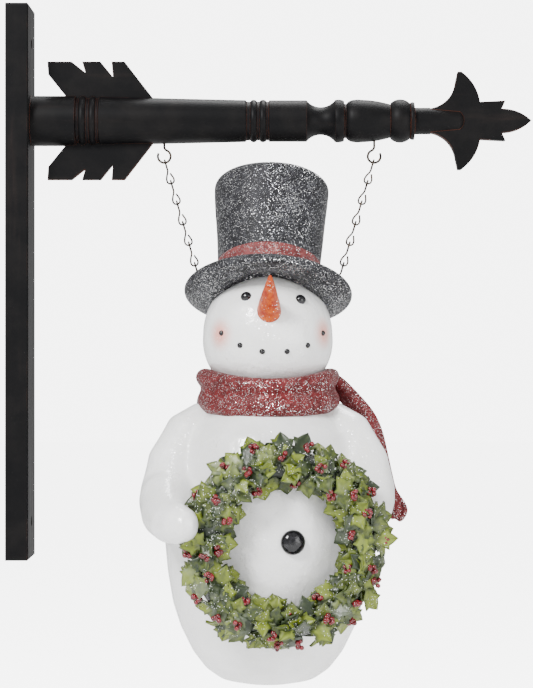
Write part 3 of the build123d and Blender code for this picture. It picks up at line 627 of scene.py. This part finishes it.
# ---- Nose: a short fat carrot cast with the head, ringed and orange under red-orange streaks.
carrot = glitter_coat("carrot_glitter", (0.27, 0.016, 0.003), (0.5, 0.085, 0.007),
                      (0.7, 0.22, 0.05), 1300.0, 0.12, 0.42)
NOSE_RISE = math.radians(33)
NOSE_LENGTH = 60 * MM
NOSE_BASE = 11.6 * MM
nose_axis = Vector((0.02, -math.cos(NOSE_RISE), math.sin(NOSE_RISE))).normalized()
nose_root = on_head(1, 20, HEAD_RADIUS - 6 * MM)
nose_profile = [(0, 0), (NOSE_BASE, 0)]
for step in range(1, 13):
    share = step / 12
    girth = NOSE_BASE * (1 - share**1.15) ** 0.95 + 1.5 * MM * share
    ringed = 0.35 * MM * math.sin(share * 26)
    nose_profile.append((girth + ringed * (1 - share), NOSE_LENGTH * share))
nose_profile.append((0, NOSE_LENGTH + 1.2 * MM))
nose_bm = spun(nose_profile, 32)
for vert in nose_bm.verts:
    vert.co += Vector((1, 1, 0)) * noise.noise(vert.co * 120) * 0.35 * MM
nose_bm.transform(Matrix.Translation(nose_root)
                  @ nose_axis.to_track_quat("Z", "Y").to_matrix().to_4x4())
finish_piece(nose_bm, "nose", carrot, "figure", ["carrot_nose"], 1)

# ---- Body: torso and both arms as one smooth casting, the way the mould joins them, with
# ---- mittens at the wreath. Pearl white and glossy.
torso_low, torso_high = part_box("torso")
BELLY = (torso_high.x - torso_low.x) / 2
torso_axis = Vector(((torso_low.x + torso_high.x) / 2, (torso_low.y + torso_high.y) / 2, 0))
NECK_Z = torso_high.z
TORSO_HEIGHT = torso_high.z - torso_low.z
ring_low, ring_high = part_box("wreath_ring")
wreath_centre = (ring_low + ring_high) / 2
torso_shape = [(0.0, 0.36), (0.05, 0.44), (0.1, 0.66), (0.16, 0.8), (0.25, 0.9), (0.37, 0.97),
               (0.507, 0.995), (0.62, 0.965), (0.724, 0.915), (0.804, 0.842), (0.888, 0.724),
               (0.946, 0.596), (0.982, 0.448), (0.998, 0.22)]
body_profile = [(0, NECK_Z)]
body_profile += [(BELLY * r, NECK_Z - TORSO_HEIGHT * d) for d, r in torso_shape]
body_profile.append((0, torso_low.z + 0.0003))
body_bm = spun(body_profile, 72)
body_bm.transform(Matrix.Translation(torso_axis))


def limb(bm, stations):
    """Adds a round limb through (x, y, z, radius) stations, from the shoulder to the hand."""
    centres = [torso_axis + Vector((x, y, z)) for x, y, z, radius in stations]
    last = len(centres) - 1
    ring = bmesh.ops.create_circle(bm, cap_ends=True, segments=28, radius=1.0)["verts"]
    for index, centre in enumerate(centres):
        ahead = centres[min(index + 1, last)] - centres[max(index - 1, 0)]
        turn = ahead.to_track_quat("Z", "Y").to_matrix().to_4x4()
        radius = stations[index][3]
        place = Matrix.Translation(centre) @ turn @ Matrix.Scale(radius, 4)
        if index == 0:
            circle = [v.co.copy() for v in ring]
        else:
            edges = [e for e in bm.edges if e.verts[0] in ring and e.verts[1] in ring]
            grown = bmesh.ops.extrude_edge_only(bm, edges=edges)["geom"]
            old = ring
            fresh = [v for v in grown if isinstance(v, bmesh.types.BMVert)]
            ring = [min(fresh, key=lambda f: (f.co - v.co).length) for v in old]
        for vert, spot in zip(ring, circle):
            vert.co = place @ spot
    bmesh.ops.contextual_create(bm, geom=[e for e in bm.edges if e.is_boundary])


shoulder_z = NECK_Z - 30 * MM
hand_z = wreath_centre.z
upper_arm = [(BELLY * 0.56, -0.002, shoulder_z, 0.019),
             (BELLY * 0.75, -0.010, shoulder_z - 0.014, 0.0235),
             (BELLY * 0.885, -0.022, shoulder_z - 0.04, 0.0255),
             (BELLY * 0.935, -0.040, shoulder_z - 0.066, 0.0262)]
front_hand = [(BELLY * 0.945, -0.062, hand_z + 0.036, 0.0255),
              (BELLY * 0.935, -0.088, hand_z + 0.026, 0.0228),
              (BELLY * 0.88, -0.110, hand_z + 0.021, 0.0195),
              (BELLY * 0.8, -0.125, hand_z + 0.02, 0.0172),
              (BELLY * 0.71, -0.1325, hand_z + 0.02, 0.0135),
              (BELLY * 0.65, -0.1345, hand_z + 0.02, 0.0065)]
back_hand = [(BELLY * 0.96, -0.052, hand_z + 0.034, 0.0228),
             (BELLY * 0.955, -0.062, hand_z + 0.023, 0.0185),
             (BELLY * 0.92, -0.07, hand_z + 0.015, 0.010)]
for side, hand in ((-1, front_hand), (1, back_hand)):
    limb(body_bm, [(side * x, y, z, radius) for x, y, z, radius in upper_arm + hand])
snow_body = finish_piece(body_bm, "snow_body", snow_finish("snow_skin", []), "figure",
                         ["torso", "wall_side_arm", "tip_side_arm"])
merge = snow_body.modifiers.new("merge", "REMESH")
merge.mode = "VOXEL"
merge.voxel_size = 0.0026
merge.use_smooth_shade = True
soften = snow_body.modifiers.new("soften", "SMOOTH")
soften.factor = 0.5
soften.iterations = 8
bpy.context.view_layer.update()
joined = bpy.data.meshes.new_from_object(
    snow_body.evaluated_get(bpy.context.evaluated_depsgraph_get()))
snow_body.modifiers.clear()
snow_body.data = joined
joined.name = "snow_body"

# ---- Scarf: a thick wrap round the neck in two rolls, and a tail that falls behind the arm.
# ---- Deep red with a frosting of white glitter, cast to look like folded cloth.
scarf_glitter = glitter_coat("red_glitter", (0.055, 0.003, 0.004), (0.12, 0.009, 0.011),
                             (0.4, 0.17, 0.17), 1650.0, 0.38)
scarf_low, scarf_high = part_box("scarf_wrap")
SCARF_OUT = (scarf_high.x - scarf_low.x) / 2
scarf_axis = Vector(((scarf_low.x + scarf_high.x) / 2, (scarf_low.y + scarf_high.y) / 2, 0))
scarf_section = [(0.66, 0.06), (0.66, 0.8), (0.78, 0.97), (0.89, 0.995), (0.965, 0.93),
                 (0.985, 0.8), (0.955, 0.68), (0.925, 0.62), (0.93, 0.55), (0.975, 0.44),
                 (0.99, 0.28), (0.955, 0.12), (0.87, 0.02), (0.76, 0.01)]
scarf_height = scarf_high.z - scarf_low.z
scarf_bm = spun([(SCARF_OUT * r, scarf_low.z + scarf_height * h) for r, h in scarf_section], 120)
for vert in scarf_bm.verts:
    angle = math.atan2(vert.co.y, vert.co.x)
    up = (vert.co.z - scarf_low.z) / scarf_height
    fold = 0.9 * math.sin(angle * 5 + up * 7) + 0.6 * math.sin(angle * 11 - up * 12 + 1.3)
    lumps = noise.noise(Vector((math.cos(angle), math.sin(angle), up)) * 3.1) * 1.8
    shrink = 1 + (fold * 0.45 + lumps - 1.6) * MM / SCARF_OUT
    vert.co.x *= shrink
    vert.co.y *= shrink
    side_lift = (5.5 * math.cos(angle) ** 2 + 1.5) * max(0.0, up - 0.4)
    front = max(0.0, -math.sin(angle))
    vert.co.z += (1.1 * math.sin(angle * 2 + 0.6) * (up - 0.5) + side_lift - 4.5 * front**2) * MM
scarf_bm.transform(Matrix.Translation(scarf_axis))
finish_piece(scarf_bm, "scarf_wrap_cloth", scarf_glitter, "figure",
             ["scarf_wrap"], 1)

# Tail: (outer x, inner x, height above the neck, set back) stations down its length, in mm.
TAIL = [(62, 44, 12, 10), (72, 52, 5, 15), (83, 60, -6, 19), (95, 70, -18, 21), (104, 79, -31, 23),
        (109.5, 88, -47, 24), (113, 96, -64, 25), (116, 104, -80, 26), (118.5, 113.5, -95, 27),
        (122, 115, -102, 27), (128, 115.5, -109, 27), (132, 115.5, -117, 27),
        (124, 115.5, -127, 27)]
TAIL_COLUMNS = 7
tail_bm = bmesh.new()
row = []
for number, (outer, inner, drop, back) in enumerate(TAIL):
    if number == 0:
        row = [tail_bm.verts.new((0, 0, 0)) for column in range(TAIL_COLUMNS)]
        for pair in zip(row, row[1:]):
            tail_bm.edges.new(pair)
    else:
        edges = [tail_bm.edges.get(pair) for pair in zip(row, row[1:])]
        grown = bmesh.ops.extrude_edge_only(tail_bm, edges=edges)["geom"]
        row = [[e.other_vert(v) for e in v.link_edges if e.other_vert(v) in grown][0] for v in row]
    for column, vert in enumerate(row):
        share = column / (TAIL_COLUMNS - 1)
        x = inner + (outer - inner) * share
        crease = 2.2 * math.sin(share * 7.5 + number * 0.25)
        crown = -5.0 * math.sin(share * math.pi) * max(0.25, 1 - number / 9)
        vert.co = torso_axis + Vector((x, back + crease + crown, 0)) * MM
        vert.co.z = NECK_Z + (drop + 1.5 * math.sin(share * 5)) * MM
tail_piece = finish_piece(tail_bm, "scarf_tail_cloth", scarf_glitter, "figure",
                          ["scarf_tail"])
thick = tail_piece.modifiers.new("thickness", "SOLIDIFY")
thick.thickness = 6.4 * MM
thick.offset = 0.0
smoother = tail_piece.modifiers.new("smooth", "SUBSURF")
smoother.levels = 2
smoother.render_levels = 2

# ---- Belly button: one large coal bead on the belly, seen through the wreath.
button_low, button_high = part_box("belly_button")
button_centre = Vector(((button_low.x + button_high.x) / 2, button_high.y - 0.0035,
                        (button_low.z + button_high.z) / 2))
outward = Vector((button_centre.x - torso_axis.x, button_centre.y - torso_axis.y, 0)).normalized()
button_turn = outward.to_track_quat("Z", "Y").to_matrix().to_4x4()
button_bm = bmesh.new()
bmesh.ops.create_icosphere(button_bm, subdivisions=4, radius=1.0,
                           matrix=Matrix.Translation(button_centre) @ button_turn
                           @ Matrix.Diagonal((0.0112, 0.0112, 0.0068, 1)))
for vert in button_bm.verts:
    vert.co += outward * noise.noise(vert.co * 240) * 0.0004
finish_piece(button_bm, "button", coal, "figure", ["belly_button"])

# ---- Wreath: a cast ring painted near black for the shade between the leaves, massed with holly leaves,
# ---- each cupped and pointed, and clusters of small berries. Olive to lime green, frosted in
# patches.
WREATH_RADIUS = 70.5 * MM
WREATH_TUBE = 13 * MM
WREATH_YAW = math.radians(8)
wreath_frame = (Matrix.Translation(wreath_centre) @ Matrix.Rotation(WREATH_YAW, 4, "Z")
                @ Matrix.Rotation(math.radians(90), 4, "X"))


def foliage_finish(name, dark, light, edge_colour):
    """Leaf paint: tone, with painted shade toward each stalk, and rim come from attributes set on
    each leaf, frost from noise.
    """
    material, tree, shader = new_material(name)
    # per-leaf tone attribute: a random tone per leaf, with painted shade darkening it toward the
    # stalk
    tone_and_stalk_shade = put(tree, "ShaderNodeAttribute")
    tone_and_stalk_shade.attribute_name = "tone_and_stalk_shade"
    rim = put(tree, "ShaderNodeAttribute")
    rim.attribute_name = "rim"
    place = put(tree, "ShaderNodeTexCoord")
    mottle = put(tree, "ShaderNodeTexNoise", Scale=220.0, Detail=4.0)
    tree.links.new(place.outputs["Object"], mottle.inputs["Vector"])
    blend = math_node(tree, "ADD", tone_and_stalk_shade.outputs["Fac"],
                      math_node(tree, "MULTIPLY", math_node(
                          tree, "SUBTRACT", mottle.outputs["Fac"], 0.5), 0.9))
    colour = mix_color(tree, ramp(tree, blend, 0.1, 0.9), dark, light)
    colour = mix_color(tree, math_node(tree, "MULTIPLY", rim.outputs["Fac"], 0.7), colour,
                       edge_colour)
    patch = put(tree, "ShaderNodeTexNoise", Scale=42.0, Detail=3.0)
    tree.links.new(place.outputs["Object"], patch.inputs["Vector"])
    effect = put(tree, "ShaderNodeGroup")
    effect.node_tree = flake_group
    effect.inputs["Scale"].default_value = 1500.0
    effect.inputs["Share"].default_value = 0.06
    frost = math_node(tree, "MULTIPLY", ramp(tree, patch.outputs["Fac"], 0.55, 0.72), 0.22)
    colour = mix_color(tree, frost, colour, (0.33, 0.37, 0.28))
    colour = mix_color(tree, effect.outputs["Bright Flakes"], colour, (0.9, 0.92, 0.9))
    tree.links.new(colour, shader.inputs["Base Color"])
    rough = put(tree, "ShaderNodeMapRange")
    rough.inputs["To Min"].default_value = 0.3
    rough.inputs["To Max"].default_value = 0.55
    tree.links.new(mottle.outputs["Fac"], rough.inputs["Value"])
    tree.links.new(rough.outputs["Result"], shader.inputs["Roughness"])
    bump = put(tree, "ShaderNodeBump", Strength=0.4, Distance=0.0005)
    tree.links.new(mottle.outputs["Fac"], bump.inputs["Height"])
    tree.links.new(effect.outputs["Normal"], bump.inputs["Normal"])
    tree.links.new(bump.outputs["Normal"], shader.inputs["Normal"])
    return material


leaf_paint = foliage_finish("holly_paint", (0.006, 0.014, 0.002), (0.16, 0.205, 0.006),
                            (0.02, 0.036, 0.006))
# the core ring's near-black green is painted shade: it stands for the shadow deep between the
# leaves
core_painted_shade = foliage_finish("wreath_shadow", (0.008, 0.014, 0.006), (0.03, 0.045, 0.015),
                            (0.05, 0.06, 0.03))
core_bm = spun([(WREATH_RADIUS + (WREATH_TUBE - 0.001) * math.cos(a * math.tau / 20),
                 (WREATH_TUBE - 0.001) * math.sin(a * math.tau / 20)) for a in range(20)], 120)
for vert in core_bm.verts:
    centre = Vector((vert.co.x, vert.co.y, 0)).normalized() * WREATH_RADIUS
    vert.co += (vert.co - centre) * noise.noise(vert.co * 130) * 0.22
core_bm.transform(wreath_frame)
finish_piece(core_bm, "wreath_core", core_painted_shade, "figure", ["wreath_ring"], 1)

# One holly leaf: a small grid, waisted between its side points, cupped along the vein.
LEAF_COLUMNS = 12
LEAF_WIDTHS = [0.08, 0.42, 0.72, 1.0, 0.68, 0.74, 0.92, 1.14, 0.7, 0.56, 0.4, 0.2, 0.0]


def holly_leaf(bm, place, length, width, curl, tone_and_stalk_shade, layers):
    """Adds one leaf: stalk at the origin, tip along +X, vein sunk, points on both sides."""
    grid = bmesh.ops.create_grid(bm, x_segments=LEAF_COLUMNS, y_segments=4, size=1.0)["verts"]
    tone_and_stalk_shade_layer, rim_layer = layers
    for vert in grid:
        along = (vert.co.x + 1) / 2
        across = vert.co.y
        column = round(along * LEAF_COLUMNS)
        spread = LEAF_WIDTHS[column] * width / 2
        push = 0.07 * abs(across) ** 2 * (1 if column in (3, 7) else 0)
        ridge = abs(across)
        # painted shade: each leaf's own random tone is darkened toward its stalk, where it tucks
        # into the ring
        vert[tone_and_stalk_shade_layer] = tone_and_stalk_shade * min(1.0, 0.15 + 1.5 * along)
        vert[rim_layer] = min(1.0, max(0.0, ridge - 0.45) * 1.8 + (0.45 if ridge < 0.1 else 0))
        x = length * min(1.0, along + push)
        z = width * (0.20 * ridge - 0.10 * ridge**3) - curl * length * (along - 0.35) ** 2
        vert.co = place @ Vector((x, across * spread, z))


leaf_bm = bmesh.new()
layers = (leaf_bm.verts.layers.float.new("tone_and_stalk_shade"), leaf_bm.verts.layers.float.new("rim"))
dice = random.Random(7)
# rows round the tube: angle from facing the viewer (0) to outward (90) or inward (-90), how many
LEAF_ROWS = [(100, 32, 25), (74, 36, 26), (52, 36, 26), (32, 40, 25), (14, 40, 24), (-4, 38, 24),
             (-22, 34, 23), (-46, 28, 22), (-74, 22, 20)]
for lean, count, length in LEAF_ROWS:
    for number in range(count):
        around = (number + dice.uniform(-0.32, 0.32)) * math.tau / count + lean * 0.03
        tilt = math.radians(lean + dice.uniform(-12, 12))
        base = Matrix.Rotation(around, 4, "Z")
        out = Vector((math.sin(tilt), 0, math.cos(tilt)))
        seat = Vector((WREATH_RADIUS, 0, 0)) + out * (WREATH_TUBE - 0.002)
        heading = math.radians(dice.uniform(-85, 85)) + (math.pi if lean < -20 else 0)
        if abs(lean) < 40:
            heading = dice.uniform(0, math.tau)
        rise = math.radians(dice.uniform(6, 24))
        face = out.to_track_quat("Z", "Y").to_matrix().to_4x4()
        outward_x = (face.inverted() @ Vector((math.cos(tilt), 0, -math.sin(tilt))))
        flat = math.atan2(outward_x.y, outward_x.x)
        place = (base @ Matrix.Translation(seat) @ face
                 @ Matrix.Rotation(flat + heading, 4, "Z") @ Matrix.Rotation(-rise, 4, "Y"))
        size = dice.uniform(0.82, 1.12)
        holly_leaf(leaf_bm, wreath_frame @ place, length * size * MM, 16.5 * size * MM,
                   dice.uniform(0.1, 0.5), dice.uniform(0.1, 1.0), layers)
leaves = finish_piece(leaf_bm, "holly_leaves", leaf_paint, "figure", ["wreath_leaves"])
leaf_body = leaves.modifiers.new("thickness", "SOLIDIFY")
leaf_body.thickness = 1.0 * MM
leaf_body.offset = 0.0

# Berries: beads in tight clusters, glossy crimson.
berry, berry_tree, berry_shader = new_material("berry_gloss")
berry_place = put(berry_tree, "ShaderNodeTexCoord")
berry_noise = put(berry_tree, "ShaderNodeTexNoise", Scale=300.0, Detail=2.0)
berry_tree.links.new(berry_place.outputs["Object"], berry_noise.inputs["Vector"])
berry_tree.links.new(mix_color(berry_tree, ramp(berry_tree, berry_noise.outputs["Fac"], 0.35, 0.65),
                               (0.06, 0.001, 0.004), (0.17, 0.003, 0.009)),
                     berry_shader.inputs["Base Color"])
berry_shader.inputs["Roughness"].default_value = 0.22
berry_shader.inputs["Coat Weight"].default_value = 0.3
berry_bm = bmesh.new()
CLUSTERS = [(66, 14), (22, 13), (-40, 10)]
for lean, count in CLUSTERS:
    for number in range(count):
        around = (number + dice.uniform(-0.3, 0.3)) * math.tau / count + lean
        tilt = math.radians(lean + dice.uniform(-14, 14))
        out = Vector((math.sin(tilt), 0, math.cos(tilt)))
        seat = Vector((WREATH_RADIUS, 0, 0)) + out * (WREATH_TUBE + 0.0075)
        cluster = wreath_frame @ Matrix.Rotation(around, 4, "Z") @ Matrix.Translation(seat)
        for _ in range(dice.randint(7, 9)):
            spread = Vector((dice.uniform(-1, 1), dice.uniform(-1, 1), dice.uniform(-0.5, 0.8)))
            offset = spread.normalized() * dice.uniform(2.2, 4.2) * MM
            bmesh.ops.create_icosphere(berry_bm, subdivisions=2, radius=dice.uniform(1.9, 2.4) * MM,
                                       matrix=cluster @ Matrix.Translation(offset))
finish_piece(berry_bm, "berries", berry, "figure", ["berry_clusters"])
